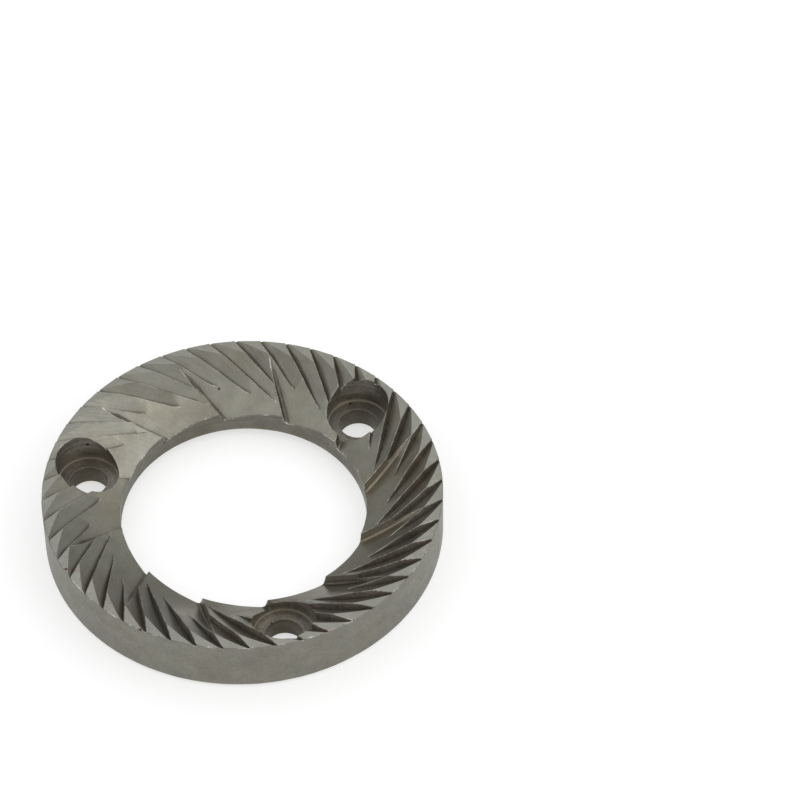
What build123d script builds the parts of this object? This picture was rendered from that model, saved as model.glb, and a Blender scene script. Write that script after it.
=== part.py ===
"""Flat burr of a coffee grinder: one hardened steel ring, turned, milled and ground.

The toothed face looks up (+Z). The origin lies on the ring's axis, in the plane of
the back's seat ring, so the burr rests on Z = 0.
"""

import os
from math import asin, cos, degrees, radians, sin, sqrt, tan

from build123d import *

# Turned blank
outer_diameter = 64.0
bore_diameter = 39.5
thickness = 9.8

# Back: a flat seat ring at the outside, a shallow recess with a sloping wall inside it
back_edge_chamfer = 0.65
seat_ring_width = 1.45
recess_depth = 0.85
recess_wall_run = 0.6
bore_back_chamfer = 0.95

# Screw holes, sunk from the toothed face as wide as the ring's two walls allow
screw_count = 3
first_screw_angle = 45.0
screw_rim_wall = 1.0
screw_bore_wall = 1.25
head_seat_width = 2.0
head_seat_height = 4.4

# Milled teeth: a ring of coarse breaker cuts from the bore, and a group of fine cuts on each
breaker_count = 12
fine_cuts_per_breaker = 4
cutter_overlap = 1.0

# Fine cuts, made by a single-angle disc cutter that leaves through the rim
fine_tip_angle = 3.25
fine_skew_angle = 33.8
fine_lean_angle = 13.0
fine_flank_angle = 23.5
fine_cutter_radius = 60.5
fine_low_point = 19.15
fine_rim_depth = 0.2
fine_edge_chamfer = 0.1

# Breaker cuts, made by a smaller and wider cutter that starts inside the rim
breaker_tip_angle = 24.15
breaker_skew_angle = 13.65
breaker_lean_angle = 15.3
breaker_flank_angle = 10.0
breaker_cutter_radius = 38.9
breaker_low_point = 26.4
breaker_rim_distance = 2.8
breaker_edge_chamfer = 0.25

# Worked out from the sizes above
outer_radius = outer_diameter / 2
bore_radius = bore_diameter / 2
seat_outer_radius = outer_radius - back_edge_chamfer
recess_radius = seat_outer_radius - seat_ring_width
recess_floor_radius = recess_radius - recess_wall_run
bore_mouth_radius = bore_radius + bore_back_chamfer
bore_wall_foot = recess_depth + bore_back_chamfer
screw_head_radius = (outer_radius - screw_rim_wall - bore_radius - screw_bore_wall) / 2
screw_hole_radius = screw_head_radius - head_seat_width
screw_circle_radius = outer_radius - screw_rim_wall - screw_head_radius
head_seat_depth = thickness - head_seat_height
fine_cut_count = breaker_count * fine_cuts_per_breaker


def rise_of_edge(radius, run, lean):
    """Height that a leaning disc's edge gains over a run from its lowest point."""
    return (radius - sqrt(radius**2 - run**2)) * cos(radians(lean))


def cutter_pass(tip_angle, skew, lean, flank_angle, radius, low_point, depth, start, edge_chamfer):
    """Metal that one pass of a disc cutter takes away.

    The cutter's flat side leaves the steep wall and its flank the gentle ramp. The wall's
    line on the top plane begins at the rim, at tip_angle, and runs inward, turned by skew
    from the radius. The cutter's lowest point is low_point along that line and depth under
    the top plane. The pass begins at start along the line and ends where it is nearest
    to the ring's axis. The cutter's edge is blunted by edge_chamfer.
    """
    upward = Vector(0, 0, 1)
    rim_point = Vector(outer_radius, 0, thickness).rotate(Axis.Z, tip_angle)
    along = Vector(-1, 0, 0).rotate(Axis.Z, tip_angle + skew)
    across = along.rotate(Axis.Z, 90)
    spindle = across * cos(radians(lean)) + upward * sin(radians(lean))
    toward_hub = upward * cos(radians(lean)) - across * sin(radians(lean))
    low_edge = rim_point + along * low_point + across * (depth * tan(radians(lean))) - upward * depth
    hub = low_edge + toward_hub * radius

    # Profile: from the cutter's edge up its flat side, and along its flank to the top plane
    profile_height = depth / cos(radians(lean)) + cutter_overlap
    climb = sin(radians(lean)) + tan(radians(flank_angle)) * cos(radians(lean))
    profile_width = depth / climb + cutter_overlap
    flank_radius = radius - profile_width * tan(radians(flank_angle))

    # Arc of the pass, from its inner end out to the rim
    inner_angle = degrees(asin((outer_radius * cos(radians(skew)) - low_point) / radius))
    start_angle = degrees(asin((start - low_point) / radius))
    inner_spoke = along * sin(radians(inner_angle)) - toward_hub * cos(radians(inner_angle))

    with BuildPart() as swarf:
        with BuildSketch(Plane(origin=hub, x_dir=spindle, z_dir=spindle.cross(inner_spoke))):
            with BuildLine():
                Polyline(
                    (0, radius),
                    (0, radius - profile_height),
                    (profile_width, radius - profile_height),
                    (profile_width, flank_radius),
                    close=True,
                )
            make_face()
            chamfer(vertices().sort_by(Axis.Y)[-1], length=edge_chamfer)
        revolve(axis=Axis(hub, spindle), revolution_arc=inner_angle - start_angle)
    return swarf.part


fine_cut = cutter_pass(
    tip_angle=fine_tip_angle,
    skew=fine_skew_angle,
    lean=fine_lean_angle,
    flank_angle=fine_flank_angle,
    radius=fine_cutter_radius,
    low_point=fine_low_point,
    depth=fine_rim_depth + rise_of_edge(fine_cutter_radius, fine_low_point, fine_lean_angle),
    start=-cutter_overlap,
    edge_chamfer=fine_edge_chamfer,
)

breaker_run = breaker_low_point - breaker_rim_distance
breaker_cut = cutter_pass(
    tip_angle=breaker_tip_angle,
    skew=breaker_skew_angle,
    lean=breaker_lean_angle,
    flank_angle=breaker_flank_angle,
    radius=breaker_cutter_radius,
    low_point=breaker_low_point,
    depth=rise_of_edge(breaker_cutter_radius, breaker_run, breaker_lean_angle),
    start=breaker_rim_distance - cutter_overlap,
    edge_chamfer=breaker_edge_chamfer,
)

with BuildPart() as burr:
    # Turned ring with its back chamfers, seat ring and recess
    with BuildSketch(Plane.XZ):
        with BuildLine():
            Polyline(
                (bore_radius, thickness),
                (outer_radius, thickness),
                (outer_radius, back_edge_chamfer),
                (seat_outer_radius, 0),
                (recess_radius, 0),
                (recess_floor_radius, recess_depth),
                (bore_mouth_radius, recess_depth),
                (bore_radius, bore_wall_foot),
                close=True,
            )
        make_face()
    revolve(axis=Axis.Z)

    # Breaker cuts all round, then the fine cuts
    with PolarLocations(0, breaker_count):
        add(breaker_cut, mode=Mode.SUBTRACT)
    with PolarLocations(0, fine_cut_count):
        add(fine_cut, mode=Mode.SUBTRACT)

    # Counterbored screw holes, drilled after the teeth
    with Locations(Plane.XY.offset(thickness)):
        with PolarLocations(screw_circle_radius, screw_count, start_angle=first_screw_angle):
            CounterBoreHole(
                radius=screw_hole_radius,
                counter_bore_radius=screw_head_radius,
                counter_bore_depth=head_seat_depth,
                depth=thickness,
            )

burr.part.label = "burr"

os.makedirs("parts", exist_ok=True)
export_step(burr.part, "parts/burr.step")
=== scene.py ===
import itertools
import math

import bmesh
import bpy
from mathutils import Matrix, Vector


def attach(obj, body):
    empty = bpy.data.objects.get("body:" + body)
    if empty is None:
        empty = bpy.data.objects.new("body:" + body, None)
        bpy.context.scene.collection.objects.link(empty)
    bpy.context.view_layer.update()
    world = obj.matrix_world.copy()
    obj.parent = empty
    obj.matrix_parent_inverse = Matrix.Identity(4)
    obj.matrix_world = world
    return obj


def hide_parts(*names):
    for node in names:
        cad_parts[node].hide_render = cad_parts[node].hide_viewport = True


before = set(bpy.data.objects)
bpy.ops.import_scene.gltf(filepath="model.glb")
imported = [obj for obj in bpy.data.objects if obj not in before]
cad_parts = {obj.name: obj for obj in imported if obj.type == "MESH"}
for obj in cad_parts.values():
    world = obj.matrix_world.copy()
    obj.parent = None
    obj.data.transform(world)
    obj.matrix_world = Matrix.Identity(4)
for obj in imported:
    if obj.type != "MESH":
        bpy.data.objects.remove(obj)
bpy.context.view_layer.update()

# Burr body: one ring of hardened tool steel, turned, milled with two sets of teeth, drilled for
# three screws and ground flat on top. Use has rubbed its outward edges round, most at the rim and
# the bore, and brightest there and at the screw wells' mouths.
MM = 0.001
UP = Vector((0, 0, 1))
RIM_RADIUS = 32.0 * MM
BACK_EDGE_RADIUS = 31.35 * MM
BORE_RADIUS = 19.75 * MM
TOP = 9.8 * MM
SCREW_CIRCLE = 26.0 * MM
HEAD_RADIUS = 5.0 * MM
HOLE_RADIUS = 3.0 * MM
HEAD_SEAT = 4.4 * MM
FIRST_SCREW = math.radians(45)
SCREW_STEP = math.radians(120)
FINE_TIP = math.radians(3.25)
FINE_STEP = math.radians(7.5)
FINE_CUTTER = {
    "skew": math.radians(33.8),
    "lean": math.radians(13.0),
    "flank": math.radians(23.5),
    "cutter_radius": 60.5 * MM,
    "low_point": 19.15 * MM,
}
BREAKER_TIP = math.radians(24.15)
BREAKER_STEP = math.radians(30.0)
BREAKER_CUTTER = {
    "skew": math.radians(13.65),
    "lean": math.radians(15.3),
    "flank": math.radians(10.0),
    "cutter_radius": 38.9 * MM,
    "low_point": 26.4 * MM,
}
FINE_ROOT_WIDTH = 0.2 * MM
SAME_POINT = 0.012 * MM
NEAR = 0.03 * MM

bpy.ops.object.select_all(action="DESELECT")
burr = bpy.data.objects.new("worn_burr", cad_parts["burr"].data.copy())
bpy.context.scene.collection.objects.link(burr)
bpy.context.view_layer.objects.active = burr
burr.select_set(True)
burr.data.materials.clear()
bpy.ops.mesh.customdata_custom_splitnormals_clear()
bpy.ops.object.mode_set(mode="EDIT")
bpy.ops.mesh.select_all(action="SELECT")
bpy.ops.mesh.remove_doubles(threshold=SAME_POINT)
bpy.ops.object.mode_set(mode="OBJECT")


def from_axis(point):
    """Distance of a point from the ring's axis."""
    return math.hypot(point.x, point.y)


def from_screw(point):
    """Distance of a point from the nearest screw's axis."""
    turn = math.atan2(point.y, point.x) - FIRST_SCREW
    turn -= SCREW_STEP * round(turn / SCREW_STEP)
    reach = from_axis(point)
    return math.hypot(reach * math.cos(turn) - SCREW_CIRCLE, reach * math.sin(turn))


def milled_normal(point, skew, lean, flank, cutter_radius, low_point):
    """The way that a ramp looks at a point, if a cutter set like this has milled it."""
    reach = from_axis(point)
    swing = math.asin(RIM_RADIUS * math.sin(skew) / reach)
    bearing = math.atan2(point.y, point.x) + swing
    along = Vector((-math.cos(bearing), -math.sin(bearing), 0))
    across = Vector((math.sin(bearing), -math.cos(bearing), 0))
    run = RIM_RADIUS * math.cos(skew) - reach * math.cos(swing)
    arc = math.asin((run - low_point) / cutter_radius)
    spindle = across * math.cos(lean) + UP * math.sin(lean)
    toward_hub = UP * math.cos(lean) - across * math.sin(lean)
    inward = toward_hub * math.cos(arc) - along * math.sin(arc)
    return inward * math.cos(flank) - spindle * math.sin(flank)


# upward parts of a normal that tell the faces apart
UPRIGHT = 0.1
LEVEL = 0.99
ROOT_RISE = 0.5
BREAKER_WALL_RISE = (math.sin(FINE_CUTTER["lean"]) + math.sin(BREAKER_CUTTER["lean"])) / 2


def finish_of(face):
    """The finish that a face of the burr has, from its place and from the way it looks."""
    normal = face.normal
    middle = face.calc_center_median()
    radii = [from_axis(v.co) for v in face.verts]
    screw_reach = [from_screw(v.co) for v in face.verts]
    heights = [v.co.z for v in face.verts]
    upright = abs(normal.z) < UPRIGHT
    if upright and all(abs(s - HEAD_RADIUS) < NEAR for s in screw_reach):
        return "screw_well"
    if upright and all(abs(s - HOLE_RADIUS) < NEAR for s in screw_reach):
        return "screw_hole"
    in_well = max(screw_reach) < HEAD_RADIUS + NEAR and max(heights) < HEAD_SEAT + NEAR
    if in_well and normal.z > LEVEL:
        return "screw_seat"
    if upright and min(radii) > RIM_RADIUS - NEAR:
        return "turned_rim"
    if upright and max(radii) < BORE_RADIUS + NEAR:
        return "bored_wall"
    if normal.z < -UPRIGHT:
        outside = max(heights) < NEAR or min(radii) > BACK_EDGE_RADIUS - NEAR
        return "ground_seat" if outside else "turned_back"
    if min(heights) > TOP - NEAR:
        return "ground_land"
    if normal.y * middle.x > normal.x * middle.y:
        fine_match = normal.dot(milled_normal(middle, **FINE_CUTTER))
        breaker_match = normal.dot(milled_normal(middle, **BREAKER_CUTTER))
        return "tooth_ramp" if fine_match > breaker_match else "breaker_ramp"
    if normal.z > ROOT_RISE:
        width = 2 * face.calc_area() / max(e.calc_length() for e in face.edges)
        return "tooth_root" if width < FINE_ROOT_WIDTH else "breaker_root"
    return "breaker_wall" if normal.z > BREAKER_WALL_RISE else "tooth_wall"


FINISHES = [
    "ground_land",
    "tooth_ramp",
    "tooth_wall",
    "tooth_root",
    "breaker_ramp",
    "breaker_wall",
    "breaker_root",
    "turned_rim",
    "bored_wall",
    "screw_well",
    "screw_seat",
    "screw_hole",
    "ground_seat",
    "turned_back",
    "rubbed_edge",
    "cutting_edge",
]
EDGE_WEAR = 0.13 * MM
WEAR_SEGMENTS = 3
CUTTING_EDGE_SHARE = 0.85
WORN_FROM = math.radians(44)
WORN_UP_TO = math.radians(140)
SHORTEST_WORN = 0.05 * MM
RUBBED_REACH = 0.15 * MM
SMOOTH_UP_TO = math.radians(29.5)
LARGE_FACES_LEAD = 100

body = bmesh.new()
body.from_mesh(burr.data)
body.normal_update()
wear = body.edges.layers.float.new("bevel_weight_edge")
for face in body.faces:
    face.material_index = FINISHES.index(finish_of(face))

# the breaker cutter's blunt edge leaves a round root: its strip spreads up the wall and along the
# ramp, less where that would turn their faces, and is bowed between them
ROOT_SPREAD = 0.4 * MM
ROOT_CUTS = 4
LEAST_LIKENESS = 0.97
SPREAD_TRIES = 12
CUT_BACK = 0.7


def finishes_at(vert):
    """The finishes that meet at a corner."""
    return {FINISHES[face.material_index] for face in vert.link_faces}


def own_normal(vert, finish):
    """The way that the faces of one finish look, on average, where they meet at a corner."""
    normals = [f.normal for f in vert.link_faces if FINISHES[f.material_index] == finish]
    return sum(normals, Vector()).normalized()


def sharp_corner(high, low):
    """Where the wall's and the ramp's planes would meet, abreast of a wall point and a ramp point."""
    high_point, wall_normal = high
    low_point, ramp_normal = low
    along = wall_normal.cross(ramp_normal).normalized()
    planes = Matrix((wall_normal, ramp_normal, along))
    middle = (high_point + low_point) / 2
    depths = Vector((wall_normal.dot(high_point), ramp_normal.dot(low_point), along.dot(middle)))
    return planes.inverted() @ depths


def onto_bore(point, along):
    """A point carried along a pass to the bore's wall."""
    outward = Vector((point.x, point.y, 0)).normalized()
    return point + along * (BORE_RADIUS - from_axis(point)) / along.dot(outward)


highs = {}
lows = {}
for vert in body.verts:
    around = finishes_at(vert) - {"bored_wall"}
    if around == {"breaker_wall", "breaker_root"}:
        highs[vert] = own_normal(vert, "breaker_wall")
    elif around == {"breaker_ramp", "breaker_root"}:
        lows[vert] = own_normal(vert, "breaker_ramp")
crossings = []
for edge in body.edges:
    ends = sorted(edge.verts, key=lambda v: v in lows)
    if ends[0] in highs and ends[1] in lows:
        crossings.append(ends)
spread = {}
pass_along = {}
for high, low in crossings:
    along = highs[high].cross(lows[low]).normalized()
    for vert, normal, other in ((high, highs[high], low), (low, lows[low], high)):
        aside = along.cross(normal)
        spread[vert] = aside if aside.dot(other.co - vert.co) < 0 else -aside
        pass_along[vert] = along
start = {vert: vert.co.copy() for vert in spread}
share = {vert: 1.0 for vert in spread}
looks = {}
for vert in spread:
    for face in vert.link_faces:
        if FINISHES[face.material_index] != "breaker_root":
            looks[face] = face.normal.copy()
for attempt in range(SPREAD_TRIES):
    for vert in spread:
        vert.co = start[vert] + spread[vert] * ROOT_SPREAD * share[vert]
        if "bored_wall" in finishes_at(vert):
            vert.co = onto_bore(vert.co, pass_along[vert])
    body.normal_update()
    turned = [f for f in looks if f.normal.dot(looks[f]) < LEAST_LIKENESS]
    if not turned:
        break
    for vert in {v for f in turned for v in f.verts if v in share}:
        share[vert] *= CUT_BACK
bows = {}
for high, low in crossings:
    corner = sharp_corner((high.co, highs[high]), (low.co, lows[low]))
    high_end = high.co.copy()
    at_bore = "bored_wall" in finishes_at(high) and "bored_wall" in finishes_at(low)
    points = []
    nearest = high
    for cut in range(1, ROOT_CUTS + 1):
        part = cut / (ROOT_CUTS + 1)
        place = high_end * (1 - part) ** 2 + corner * 2 * part * (1 - part) + low.co * part ** 2
        point = bmesh.utils.edge_split(body.edges.get((nearest, low)), nearest, 0.5)[1]
        point.co = onto_bore(place, pass_along[high]) if at_bore else place
        points.append(point)
        nearest = point
    bows[high, low] = points
for first, second in itertools.combinations(bows, 2):
    if first[0] is not second[0] and first[1] is not second[1]:
        continue
    for one, two in zip(bows[first], bows[second]):
        shared = [f for f in one.link_faces if f in two.link_faces]
        if shared:
            bmesh.utils.face_split(shared[0], one, two)
body.normal_update()

# each land becomes one face, which leaves its worn edges room
LAND = FINISHES.index("ground_land")
FLAT_WITHIN = math.radians(0.5)
land_seams = [e for e in body.edges if all(f.material_index == LAND for f in e.link_faces)]
bmesh.ops.dissolve_limit(body, angle_limit=FLAT_WITHIN, verts=[], edges=land_seams, delimit={"MATERIAL"})
body.normal_update()
for edge in body.edges:
    if not WORN_FROM < edge.calc_face_angle_signed(0) < WORN_UP_TO or edge.calc_length() < SHORTEST_WORN:
        continue
    ends = [from_axis(v.co) for v in edge.verts]
    exposed = min(ends) > RIM_RADIUS - NEAR or max(ends) < BORE_RADIUS + NEAR
    edge[wear] = 1.0 if exposed else CUTTING_EDGE_SHARE
body.to_mesh(burr.data)
body.free()


def put(tree, kind, feeds, **settings):
    """Adds a shader node, sets it, and feeds its inputs with values or with other nodes' outputs."""
    node = tree.nodes.new("ShaderNode" + kind)
    for key, value in settings.items():
        setattr(node, key, value)
    for key, value in feeds.items():
        if isinstance(value, bpy.types.NodeSocket):
            tree.links.new(value, node.inputs[key])
        else:
            node.inputs[key].default_value = value
    return node


def sums(tree, operation, first, second=0.0):
    """One step of arithmetic."""
    return put(tree, "Math", {0: first, 1: second}, operation=operation).outputs[0]


def span(tree, value, low, high, from_low=0.0, to_high=1.0):
    """A value carried from one span to another, and held at its ends."""
    return put(tree, "MapRange", {0: value, 1: low, 2: high, 3: from_low, 4: to_high}).outputs[0]


def noise(tree, where, scale=1.0, detail=3.0, roughness=0.6):
    """Cloudy noise at a place, as a value about one half."""
    feeds = {"Vector": where, "Scale": scale, "Detail": detail, "Roughness": roughness}
    return put(tree, "TexNoise", feeds).outputs[0]


def length_of(tree, first, second):
    """Length of the long side of a right triangle."""
    squares = [sums(tree, "MULTIPLY", side, side) for side in (first, second)]
    return sums(tree, "SQRT", sums(tree, "ADD", *squares))


def vectors(tree, operation, first, second):
    """One step of arithmetic on vectors; it has a Vector and a Value to choose from."""
    return put(tree, "VectorMath", {0: first, 1: second}, operation=operation).outputs


def mixed(tree, share, first, second, blend="MIX"):
    """A colour part of the way from one to another, or tinted by it."""
    return put(tree, "MixRGB", {0: share, 1: first, 2: second}, blend_type=blend).outputs[0]


def new_group(name, inputs, outputs):
    """An empty node group with named sockets; gives its tree, what it is given and what it gives."""
    tree = bpy.data.node_groups.new(name, "ShaderNodeTree")
    for label, kind in inputs:
        tree.interface.new_socket(label, in_out="INPUT", socket_type="NodeSocket" + kind)
    for label, kind in outputs:
        tree.interface.new_socket(label, in_out="OUTPUT", socket_type="NodeSocket" + kind)
    return tree, tree.nodes.new("NodeGroupInput").outputs, tree.nodes.new("NodeGroupOutput").inputs


def ring_place(tree, position):
    """A position as its reach from the ring's axis, its bearing round it and its height."""
    part = put(tree, "SeparateXYZ", {0: position}).outputs
    return length_of(tree, part[0], part[1]), sums(tree, "ARCTAN2", part[1], part[0]), part[2]


# what the passes of a disc cutter leave: lines along each pass and a tone of its own for each pass; and
# painted shade at the foot of its wall; First is the heading of one wall and Step the turn from wall to
# wall
PASS_LINES_ROUND = 140.0
PASS_LINES_INWARD = 160.0
ON_WALL = 0.02
FOOT_FADE = 1.6
cutter_passes, given, gives = new_group(
    "cutter_passes",
    [("Position", "Vector"), ("Skew", "Float"), ("Lean", "Float"), ("First", "Float"), ("Step", "Float"),
     ("Foot Width", "Float")],
    [("Lines", "Float"), ("Tone", "Float"), ("Foot", "Float")],
)
reach, bearing, height = ring_place(cutter_passes, given["Position"])
drop = sums(cutter_passes, "SUBTRACT", TOP, height)
foot_shift = sums(cutter_passes, "MULTIPLY", drop, sums(cutter_passes, "TANGENT", given["Lean"]))
top_offset = sums(cutter_passes, "MULTIPLY", sums(cutter_passes, "SINE", given["Skew"]), RIM_RADIUS)
offset = sums(cutter_passes, "ADD", top_offset, foot_shift)
swing = sums(cutter_passes, "ARCSINE", sums(cutter_passes, "DIVIDE", offset, reach))
heading = sums(cutter_passes, "ADD", bearing, swing)
course = put(cutter_passes, "CombineXYZ", {
    0: sums(cutter_passes, "MULTIPLY", sums(cutter_passes, "COSINE", heading), PASS_LINES_ROUND),
    1: sums(cutter_passes, "MULTIPLY", sums(cutter_passes, "SINE", heading), PASS_LINES_ROUND),
    2: sums(cutter_passes, "MULTIPLY", reach, PASS_LINES_INWARD),
})
cutter_passes.links.new(noise(cutter_passes, course.outputs[0]), gives["Lines"])
from_first = sums(cutter_passes, "SUBTRACT", heading, given["First"])
steps = sums(cutter_passes, "DIVIDE", from_first, given["Step"])
wall = sums(cutter_passes, "CEIL", sums(cutter_passes, "SUBTRACT", steps, ON_WALL))
walls_in_all = sums(cutter_passes, "ROUND", sums(cutter_passes, "DIVIDE", 2 * math.pi, given["Step"]))
same_wall = sums(cutter_passes, "FLOORED_MODULO", wall, walls_in_all)
own_tone = put(cutter_passes, "TexWhiteNoise", {"W": same_wall}, noise_dimensions="1D").outputs["Value"]
cutter_passes.links.new(own_tone, gives["Tone"])
turn_off = sums(cutter_passes, "MULTIPLY", sums(cutter_passes, "SUBTRACT", wall, steps), given["Step"])
lever = sums(cutter_passes, "MULTIPLY", reach, sums(cutter_passes, "COSINE", swing))
near_foot = span(cutter_passes, sums(cutter_passes, "MULTIPLY", lever, turn_off), given["Foot Width"], 0.0)
cutter_passes.links.new(sums(cutter_passes, "POWER", near_foot, FOOT_FADE), gives["Foot"])

# lines that turning leaves: level on a wall, and circles on the back
TURNED_LINES_ROUND = 25.0
TURNED_LINES_APART = 1500.0
turned_lines, given, gives = new_group("turned_lines", [("Position", "Vector")], [("Lines", "Float")])
part = put(turned_lines, "SeparateXYZ", {0: given["Position"]}).outputs
reach = length_of(turned_lines, part[0], part[1])
course = put(turned_lines, "CombineXYZ", {
    0: sums(turned_lines, "MULTIPLY", part[0], TURNED_LINES_ROUND),
    1: sums(turned_lines, "MULTIPLY", part[1], TURNED_LINES_ROUND),
    2: sums(turned_lines, "MULTIPLY", sums(turned_lines, "ADD", reach, part[2]), TURNED_LINES_APART),
})
turned_lines.links.new(noise(turned_lines, course.outputs[0]), gives["Lines"])

# rings that the counterbore leaves round a screw, and a painted highlight in the corner where its wall
# meets the seat
CORNER_WIDTH = 0.32 * MM
RINGS_APART = 2200.0
RINGS_ROUND = 60.0
well_rings, given, gives = new_group(
    "well_rings",
    [("Position", "Vector")],
    [("Lines", "Float"), ("Corner Highlight", "Float")],
)
reach, bearing, height = ring_place(well_rings, given["Position"])
turn = sums(well_rings, "SUBTRACT", bearing, FIRST_SCREW)
whole_steps = sums(well_rings, "ROUND", sums(well_rings, "DIVIDE", turn, SCREW_STEP))
turn = sums(well_rings, "SUBTRACT", turn, sums(well_rings, "MULTIPLY", whole_steps, SCREW_STEP))
outward = sums(well_rings, "MULTIPLY", reach, sums(well_rings, "COSINE", turn))
outward = sums(well_rings, "SUBTRACT", outward, SCREW_CIRCLE)
sideways = sums(well_rings, "MULTIPLY", reach, sums(well_rings, "SINE", turn))
screw_reach = length_of(well_rings, outward, sideways)
course = put(well_rings, "CombineXYZ", {
    0: sums(well_rings, "MULTIPLY", outward, RINGS_ROUND),
    1: sums(well_rings, "MULTIPLY", sideways, RINGS_ROUND),
    2: sums(well_rings, "MULTIPLY", sums(well_rings, "ADD", screw_reach, height), RINGS_APART),
})
well_rings.links.new(noise(well_rings, course.outputs[0]), gives["Lines"])
near_wall = span(well_rings, screw_reach, HEAD_RADIUS - CORNER_WIDTH, HEAD_RADIUS - CORNER_WIDTH / 2)
near_seat = span(well_rings, height, HEAD_SEAT + CORNER_WIDTH, HEAD_SEAT + CORNER_WIDTH / 2)
well_rings.links.new(sums(well_rings, "MULTIPLY", near_wall, near_seat), gives["Corner Highlight"])

# cloudy change of tone, fine grain, broad brown stains and small rust specks in the steel's skin
CLOUD_SCALE = 330.0
GRAIN_SCALE = 2600.0
STAIN_SCALE = 130.0
STAIN_FROM = 0.45
STAIN_FULL = 0.68
SPECK_SCALE = 420.0
SPECK_EDGE = 0.2
SPECK_CORE = 0.07
steel_skin, given, gives = new_group(
    "steel_skin",
    [("Position", "Vector"), ("Specks", "Float")],
    [("Cloud", "Float"), ("Grain", "Float"), ("Stain", "Float"), ("Rust", "Float"), ("Root Glint", "Float")],
)
place = given["Position"]
steel_skin.links.new(noise(steel_skin, place, CLOUD_SCALE, detail=4.0), gives["Cloud"])
steel_skin.links.new(noise(steel_skin, place, GRAIN_SCALE, detail=2.0), gives["Grain"])
stain = span(steel_skin, noise(steel_skin, place, STAIN_SCALE), STAIN_FROM, STAIN_FULL)
steel_skin.links.new(stain, gives["Stain"])
dots = put(steel_skin, "TexVoronoi", {"Vector": place, "Scale": SPECK_SCALE, "Randomness": 1.0}).outputs
chosen = put(steel_skin, "SeparateColor", {0: dots["Color"]}).outputs[0]
picked = sums(steel_skin, "LESS_THAN", chosen, given["Specks"])
rust = sums(steel_skin, "MULTIPLY", picked, span(steel_skin, dots["Distance"], SPECK_EDGE, SPECK_CORE))
# the few larger specks, each with its place and its radius in mm
SPOT_CORE = 0.4
RUST_SPOTS = [
    ((-4.3, 23.9, 7.1), 0.3),
    ((-13.1, 14.8, 4.4), 0.35),
    ((-25.3, 11.7, 7.7), 0.4),
    ((-27.4, -15.8, 9.8), 0.35),
    ((-15.4, -28.0, 9.7), 0.35),
    ((13.5, 14.4, 3.9), 0.3),
    ((17.15, 22.7, 4.4), 0.35),
    ((4.7, -22.9, 4.4), 0.3),
]
for spot, radius in RUST_SPOTS:
    away = vectors(steel_skin, "DISTANCE", place, Vector(spot) * MM)["Value"]
    rust = sums(steel_skin, "MAXIMUM", rust, span(steel_skin, away, radius * MM, SPOT_CORE * radius * MM))
steel_skin.links.new(rust, gives["Rust"])
# a painted highlight: a light tan band along the roots of two breaker cuts, next to each other
ROOT_GLINT_START = Vector((19.3, -6.9, 4.8)) * MM
ROOT_GLINT_END = Vector((27.4, -4.2, 8.8)) * MM
ROOT_GLINT_REACH = 1.1 * MM
ROOT_GLINT_CORE = 0.2 * MM
root_glint = 0.0
for turn in (0.0, BREAKER_STEP):
    first_end = Matrix.Rotation(turn, 3, "Z") @ ROOT_GLINT_START
    run = Matrix.Rotation(turn, 3, "Z") @ (ROOT_GLINT_END - ROOT_GLINT_START)
    from_end = vectors(steel_skin, "SUBTRACT", place, first_end)["Vector"]
    gone = vectors(steel_skin, "DOT_PRODUCT", from_end, run / run.length_squared)["Value"]
    gone = span(steel_skin, gone, 0.0, 1.0)
    nearest = put(steel_skin, "VectorMath", {0: run, "Scale": gone}, operation="SCALE").outputs["Vector"]
    aside = vectors(steel_skin, "DISTANCE", from_end, nearest)["Value"]
    root_glint = sums(steel_skin, "MAXIMUM", root_glint, span(steel_skin, aside, ROOT_GLINT_REACH, ROOT_GLINT_CORE))
steel_skin.links.new(root_glint, gives["Root Glint"])

# short pale scratches in patches, from handling: two sets, each turned and shifted its own way
SCRATCH_SETS = [(math.radians(18.0), 0.3), (math.radians(-52.0), 0.8)]
SCRATCH_SCALE = (260.0, 2400.0, 260.0)
SCRATCH_SPAN = (0.54, 0.68)
PATCH_SCALE = (150.0, 150.0, 150.0)
PATCH_SPAN = (0.5, 0.62)
pale_scratches, given, gives = new_group(
    "pale_scratches",
    [("Position", "Vector")],
    [("Scratches", "Float")],
)
marks = 0.0
for scratch_turn, patch_shift in SCRATCH_SETS:
    turned = put(pale_scratches, "Mapping", {
        "Vector": given["Position"],
        "Rotation": (0.0, 0.0, scratch_turn),
        "Scale": SCRATCH_SCALE,
    }).outputs[0]
    shifted = put(pale_scratches, "Mapping", {
        "Vector": given["Position"],
        "Location": (patch_shift, patch_shift, 0.0),
        "Scale": PATCH_SCALE,
    }).outputs[0]
    streak = span(pale_scratches, noise(pale_scratches, turned, detail=2.0), *SCRATCH_SPAN)
    patch = span(pale_scratches, noise(pale_scratches, shifted, detail=1.0), *PATCH_SPAN)
    marks = sums(pale_scratches, "MAXIMUM", marks, sums(pale_scratches, "MULTIPLY", streak, patch))
pale_scratches.links.new(marks, gives["Scratches"])

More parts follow.
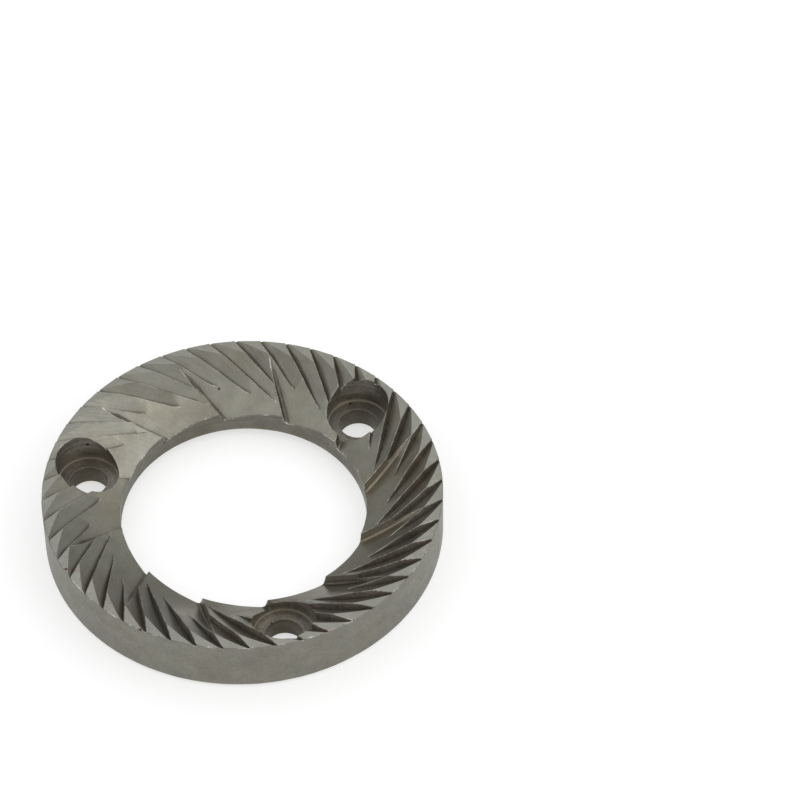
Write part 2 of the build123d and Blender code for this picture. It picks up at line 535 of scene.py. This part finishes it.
RUST_BROWN = (0.095, 0.046, 0.022, 1.0)
STAIN_BROWN = (0.82, 0.68, 0.5, 1.0)
FOOT_SHADE_GREY = (0.34, 0.31, 0.27, 1.0)
ROOT_GLINT_TAN = (0.5, 0.44, 0.33, 1.0)
SCRATCH_GREY = (0.6, 0.6, 0.57, 1.0)
CORNER_HIGHLIGHT_GREY = (0.4, 0.383, 0.335, 1.0)
FINE_PASSES = {
    "Skew": FINE_CUTTER["skew"],
    "Lean": FINE_CUTTER["lean"],
    "First": FINE_TIP + FINE_CUTTER["skew"],
    "Step": FINE_STEP,
    "Foot Width": 0.7 * MM,
}
BREAKER_PASSES = {
    "Skew": BREAKER_CUTTER["skew"],
    "Lean": BREAKER_CUTTER["lean"],
    "First": BREAKER_TIP + BREAKER_CUTTER["skew"],
    "Step": BREAKER_STEP,
    "Foot Width": 2.0 * MM,
}
GLOSS_RANGE = 0.06
LINE_DEPTH = 0.02 * MM


def steel(name, light, dark, roughness, lines, settings=None, depth=0.15, shares=(1.6, 1.2, 0.8),
          own_tone=0.0, specks=0.01, stain=0.3, foot=0.0, root_glint=0.0, scratch=0.0, tones=(0.35, 0.65)):
    """A finish of the burr's steel: two tones, its gloss, its tool lines, stains, specks and scratches,
    with painted shade and a painted highlight.

    shares weighs cloud, lines and grain in the tone, own_tone adds each pass's own, and tones are the
    tone's dark and light ends. foot, stain, root_glint and scratch say how much of each shows: foot is
    painted shade at the walls' feet, and root_glint a painted highlight along two breaker roots.
    """
    made = bpy.data.materials.new(name)
    made.use_nodes = True
    tree = made.node_tree
    shader = tree.nodes["Principled BSDF"]
    shader.inputs["Metallic"].default_value = 1.0
    place = put(tree, "TexCoord", {}).outputs["Object"]
    skin = put(tree, "Group", {}, node_tree=steel_skin)
    skin.inputs["Specks"].default_value = specks
    tree.links.new(place, skin.inputs["Position"])
    marks = put(tree, "Group", {}, node_tree=lines)
    tree.links.new(place, marks.inputs["Position"])
    for key, value in (settings or {}).items():
        marks.inputs[key].default_value = value
    weights = list(zip(shares, (skin.outputs["Cloud"], marks.outputs["Lines"], skin.outputs["Grain"])))
    if own_tone:
        weights.append((own_tone, marks.outputs["Tone"]))
    tone = 0.0
    for share, source in weights:
        if share:
            tone = sums(tree, "ADD", tone, sums(tree, "MULTIPLY", source, share))
    low, high = (end * sum(share for share, source in weights) for end in tones)
    colour = mixed(tree, span(tree, tone, low, high), (*dark, 1.0), (*light, 1.0))
    # a lighter ring in the corner of each screw well: painted highlight
    if lines == well_rings:
        colour = mixed(tree, marks.outputs["Corner Highlight"], colour, CORNER_HIGHLIGHT_GREY)
    # the ramps darken towards the foot of the next wall: painted shade
    if foot:
        share = sums(tree, "MULTIPLY", marks.outputs["Foot"], foot)
        colour = mixed(tree, share, colour, FOOT_SHADE_GREY, "MULTIPLY")
    if stain:
        share = sums(tree, "MULTIPLY", skin.outputs["Stain"], stain)
        colour = mixed(tree, share, colour, STAIN_BROWN, "MULTIPLY")
    # a light tan band along two breaker roots: painted highlight
    if root_glint:
        share = sums(tree, "MULTIPLY", skin.outputs["Root Glint"], root_glint)
        colour = mixed(tree, share, colour, ROOT_GLINT_TAN)
    if scratch:
        rubs = put(tree, "Group", {}, node_tree=pale_scratches)
        tree.links.new(place, rubs.inputs["Position"])
        share = sums(tree, "MULTIPLY", rubs.outputs["Scratches"], scratch)
        colour = mixed(tree, share, colour, SCRATCH_GREY)
    colour = mixed(tree, skin.outputs["Rust"], colour, RUST_BROWN)
    tree.links.new(colour, shader.inputs["Base Color"])
    gloss = span(tree, tone, low, high, roughness + GLOSS_RANGE, roughness - GLOSS_RANGE)
    tree.links.new(gloss, shader.inputs["Roughness"])
    relief = put(tree, "Bump", {"Strength": depth, "Distance": LINE_DEPTH, "Height": tone})
    tree.links.new(relief.outputs[0], shader.inputs["Normal"])
    return made


STEEL_LOOKS = {
    "ground_land": dict(
        light=(0.375, 0.375, 0.331), dark=(0.29, 0.29, 0.256), roughness=0.4,
        lines=cutter_passes, settings=FINE_PASSES, depth=0.2,
        specks=0.003, stain=0.1, scratch=0.2,
    ),
    "tooth_ramp": dict(
        light=(0.3, 0.296, 0.254), dark=(0.2, 0.197, 0.168), roughness=0.34,
        lines=cutter_passes, settings=FINE_PASSES, depth=0.5, shares=(1.4, 1.6, 0.8),
        own_tone=0.8, specks=0.008, foot=1.0,
    ),
    "tooth_wall": dict(
        light=(0.46, 0.425, 0.372), dark=(0.16, 0.147, 0.126), roughness=0.46,
        lines=cutter_passes, settings=FINE_PASSES, shares=(1.4, 0.4, 1.4), specks=0.03,
    ),
    # the fine teeth's roots are near black: dirt and painted shade in the groove bottoms
    "tooth_root": dict(
        light=(0.1, 0.09, 0.077), dark=(0.06, 0.053, 0.045), roughness=0.6,
        lines=cutter_passes, settings=FINE_PASSES, specks=0.0,
    ),
    "breaker_ramp": dict(
        light=(0.315, 0.308, 0.26), dark=(0.23, 0.225, 0.188), roughness=0.34,
        lines=cutter_passes, settings=BREAKER_PASSES, depth=0.4, shares=(1.8, 0.8, 0.8),
        own_tone=0.4, foot=0.5, root_glint=0.25,
    ),
    "breaker_wall": dict(
        light=(0.36, 0.342, 0.294), dark=(0.23, 0.219, 0.188), roughness=0.46,
        lines=cutter_passes, settings=BREAKER_PASSES, shares=(1.8, 0.6, 0.8),
        specks=0.03, stain=0.4, root_glint=0.3,
    ),
    # the breakers' roots are darker than wall and ramp: dirt and painted shade in the root
    "breaker_root": dict(
        light=(0.18, 0.167, 0.14), dark=(0.095, 0.088, 0.074), roughness=0.5,
        lines=cutter_passes, settings=BREAKER_PASSES, shares=(2.4, 0.4, 0.8),
        stain=0.5, root_glint=0.42,
    ),
    "turned_rim": dict(
        light=(0.256, 0.251, 0.213), dark=(0.196, 0.192, 0.162), roughness=0.48,
        lines=turned_lines, depth=0.08, shares=(1.4, 0.3, 1.6), specks=0.002, stain=0.15,
    ),
    "bored_wall": dict(
        light=(0.192, 0.187, 0.155), dark=(0.138, 0.134, 0.111), roughness=0.48,
        lines=turned_lines, specks=0.012,
    ),
    "screw_well": dict(
        light=(0.48, 0.459, 0.405), dark=(0.18, 0.172, 0.151), roughness=0.46,
        lines=well_rings, depth=0.3, shares=(1.2, 1.4, 1.0), specks=0.02,
    ),
    "screw_seat": dict(
        light=(0.265, 0.251, 0.216), dark=(0.115, 0.109, 0.093), roughness=0.46,
        lines=well_rings, depth=0.3, shares=(1.0, 1.2, 1.4), specks=0.03,
    ),
    "screw_hole": dict(
        light=(0.125, 0.113, 0.085), dark=(0.085, 0.077, 0.057), roughness=0.5,
        lines=turned_lines,
    ),
    "ground_seat": dict(
        light=(0.345, 0.34, 0.3), dark=(0.26, 0.255, 0.22), roughness=0.44,
        lines=turned_lines, depth=0.12, shares=(1.8, 0.8, 0.8), stain=0.2, scratch=0.2,
    ),
    "turned_back": dict(
        light=(0.265, 0.257, 0.22), dark=(0.2, 0.193, 0.163), roughness=0.48,
        lines=turned_lines, depth=0.12, shares=(1.8, 0.7, 0.8),
        specks=0.012, stain=0.4, scratch=0.1,
    ),
    "rubbed_edge": dict(
        light=(0.66, 0.65, 0.61), dark=(0.25, 0.24, 0.207), roughness=0.4,
        lines=turned_lines, depth=0.1, shares=(2.2, 0.0, 1.0),
        specks=0.0, stain=0.0, tones=(0.5, 0.64),
    ),
    "cutting_edge": dict(
        light=(0.52, 0.505, 0.457), dark=(0.19, 0.18, 0.154), roughness=0.4,
        lines=turned_lines, depth=0.1, shares=(1.6, 0.0, 1.0),
        specks=0.0, stain=0.2, tones=(0.42, 0.62),
    ),
}
for finish in FINISHES:
    burr.data.materials.append(steel(finish, **STEEL_LOOKS[finish]))

rubbed = burr.modifiers.new("rubbed_edges", "BEVEL")
rubbed.limit_method = "WEIGHT"
rubbed.width = EDGE_WEAR
rubbed.segments = WEAR_SEGMENTS
rubbed.use_clamp_overlap = False
rubbed.material = FINISHES.index("rubbed_edge")
bpy.ops.object.modifier_apply(modifier="rubbed_edges")
for vert in burr.data.vertices:
    beyond = max(1.0, from_axis(vert.co) / RIM_RADIUS)
    vert.co = (vert.co.x / beyond, vert.co.y / beyond, min(vert.co.z, TOP))


def is_less_rubbed(face):
    """Whether a worn strip lies at the back, or on the teeth away from rim, bore and wells' mouths."""
    at_rim = from_axis(face.center) > RIM_RADIUS - RUBBED_REACH
    at_bore = from_axis(face.center) < BORE_RADIUS + RUBBED_REACH
    at_well = abs(from_screw(face.center) - HEAD_RADIUS) < RUBBED_REACH
    at_back = face.center.z < HEAD_SEAT / 2
    return at_back or not (at_rim or at_bore or at_well)


for face in burr.data.polygons:
    if face.material_index != FINISHES.index("rubbed_edge"):
        continue
    if abs(from_screw(face.center) - HOLE_RADIUS) < RUBBED_REACH:
        face.material_index = FINISHES.index("screw_seat")
    elif is_less_rubbed(face):
        face.material_index = FINISHES.index("cutting_edge")
bpy.ops.object.shade_smooth_by_angle(angle=SMOOTH_UP_TO)
even = burr.modifiers.new("even_shading", "WEIGHTED_NORMAL")
even.keep_sharp = True
even.weight = LARGE_FACES_LEAD
bpy.ops.object.modifier_apply(modifier="even_shading")
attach(burr, "root")
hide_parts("burr")

# Floor: a plain pale sheet under the burr, wide enough for every view. The camera and the steel
# see it white, and it keeps the burr's soft shadow.
FLOOR_SIZE = 6.0
FLOOR_CLEARANCE = 0.02 * MM
PAPER_GREY = (0.5, 0.5, 0.5, 1.0)
PAPER_LIFT = 0.6
WHITE = (1.0, 1.0, 1.0, 1.0)
bpy.ops.object.select_all(action="DESELECT")
bpy.ops.mesh.primitive_plane_add(size=FLOOR_SIZE, location=(0, 0, -FLOOR_CLEARANCE))
floor = bpy.context.active_object
floor.name = "floor"
paper = bpy.data.materials.new("pale_paper")
paper.use_nodes = True
tree = paper.node_tree
tree.nodes.clear()
rays = put(tree, "LightPath", {}).outputs
seen = sums(tree, "MAXIMUM", rays["Is Camera Ray"], rays["Is Glossy Ray"])
seen = sums(tree, "MAXIMUM", seen, rays["Is Transmission Ray"])
matt = put(tree, "BsdfDiffuse", {"Color": PAPER_GREY})
lift = put(tree, "Emission", {"Color": WHITE, "Strength": sums(tree, "MULTIPLY", seen, PAPER_LIFT)})
sheet = put(tree, "AddShader", {0: matt.outputs[0], 1: lift.outputs[0]})
put(tree, "OutputMaterial", {"Surface": sheet.outputs[0]})
floor.data.materials.append(paper)

# Studio light: one soft square lamp, high at the front right, and a pale room that grows brighter
# towards its ceiling.
LAMP_SIDE = 0.6
LAMP_PLACE = (0.56, -0.26, 0.79)
LAMP_POWER = 1.15
lamp = bpy.data.lights.new("overhead_softbox", "AREA")
lamp.shape = "SQUARE"
lamp.size = LAMP_SIDE
lamp.energy = LAMP_POWER
softbox = bpy.data.objects.new("overhead_softbox", lamp)
softbox.location = LAMP_PLACE
softbox.rotation_euler = (-softbox.location).to_track_quat("-Z", "Y").to_euler()
bpy.context.scene.collection.objects.link(softbox)

WALL_LEVEL = 0.42
CEILING_LEVEL = 1.02
room = bpy.data.worlds.new("pale_room")
bpy.context.scene.world = room
room.use_nodes = True
tree = room.node_tree
tree.nodes.clear()
rays = put(tree, "LightPath", {}).outputs
upward = put(tree, "SeparateXYZ", {0: put(tree, "TexCoord", {}).outputs["Generated"]}).outputs[2]
brightness = span(tree, upward, 0.0, 1.0, WALL_LEVEL, CEILING_LEVEL)
walls = put(tree, "Background", {"Color": WHITE, "Strength": brightness})
white = put(tree, "Background", {"Color": WHITE, "Strength": 1.0})
both = put(tree, "MixShader", {0: rays["Is Camera Ray"], 1: walls.outputs[0], 2: white.outputs[0]})
put(tree, "OutputWorld", {"Surface": both.outputs[0]})

# Camera: a long lens from the front, looking down at the toothed face.
EYE = Vector((25.31, -423.15, 513.385)) * MM
LOOK_DOWN = math.radians(48.7435)
ROLL = math.radians(-0.737)
SENSOR_WIDTH_MM = 36.0
FOCAL_LENGTH_MM = 185.67
lens = bpy.data.cameras.new("camera")
lens.sensor_width = SENSOR_WIDTH_MM
lens.lens = FOCAL_LENGTH_MM
camera = bpy.data.objects.new("camera", lens)
bpy.context.scene.collection.objects.link(camera)
tilt = Matrix.Rotation(math.radians(90) - LOOK_DOWN, 4, "X")
camera.matrix_world = Matrix.Translation(EYE) @ tilt @ Matrix.Rotation(ROLL, 4, "Z")
bpy.context.scene.camera = camera
bpy.context.scene.view_settings.view_transform = "Standard"
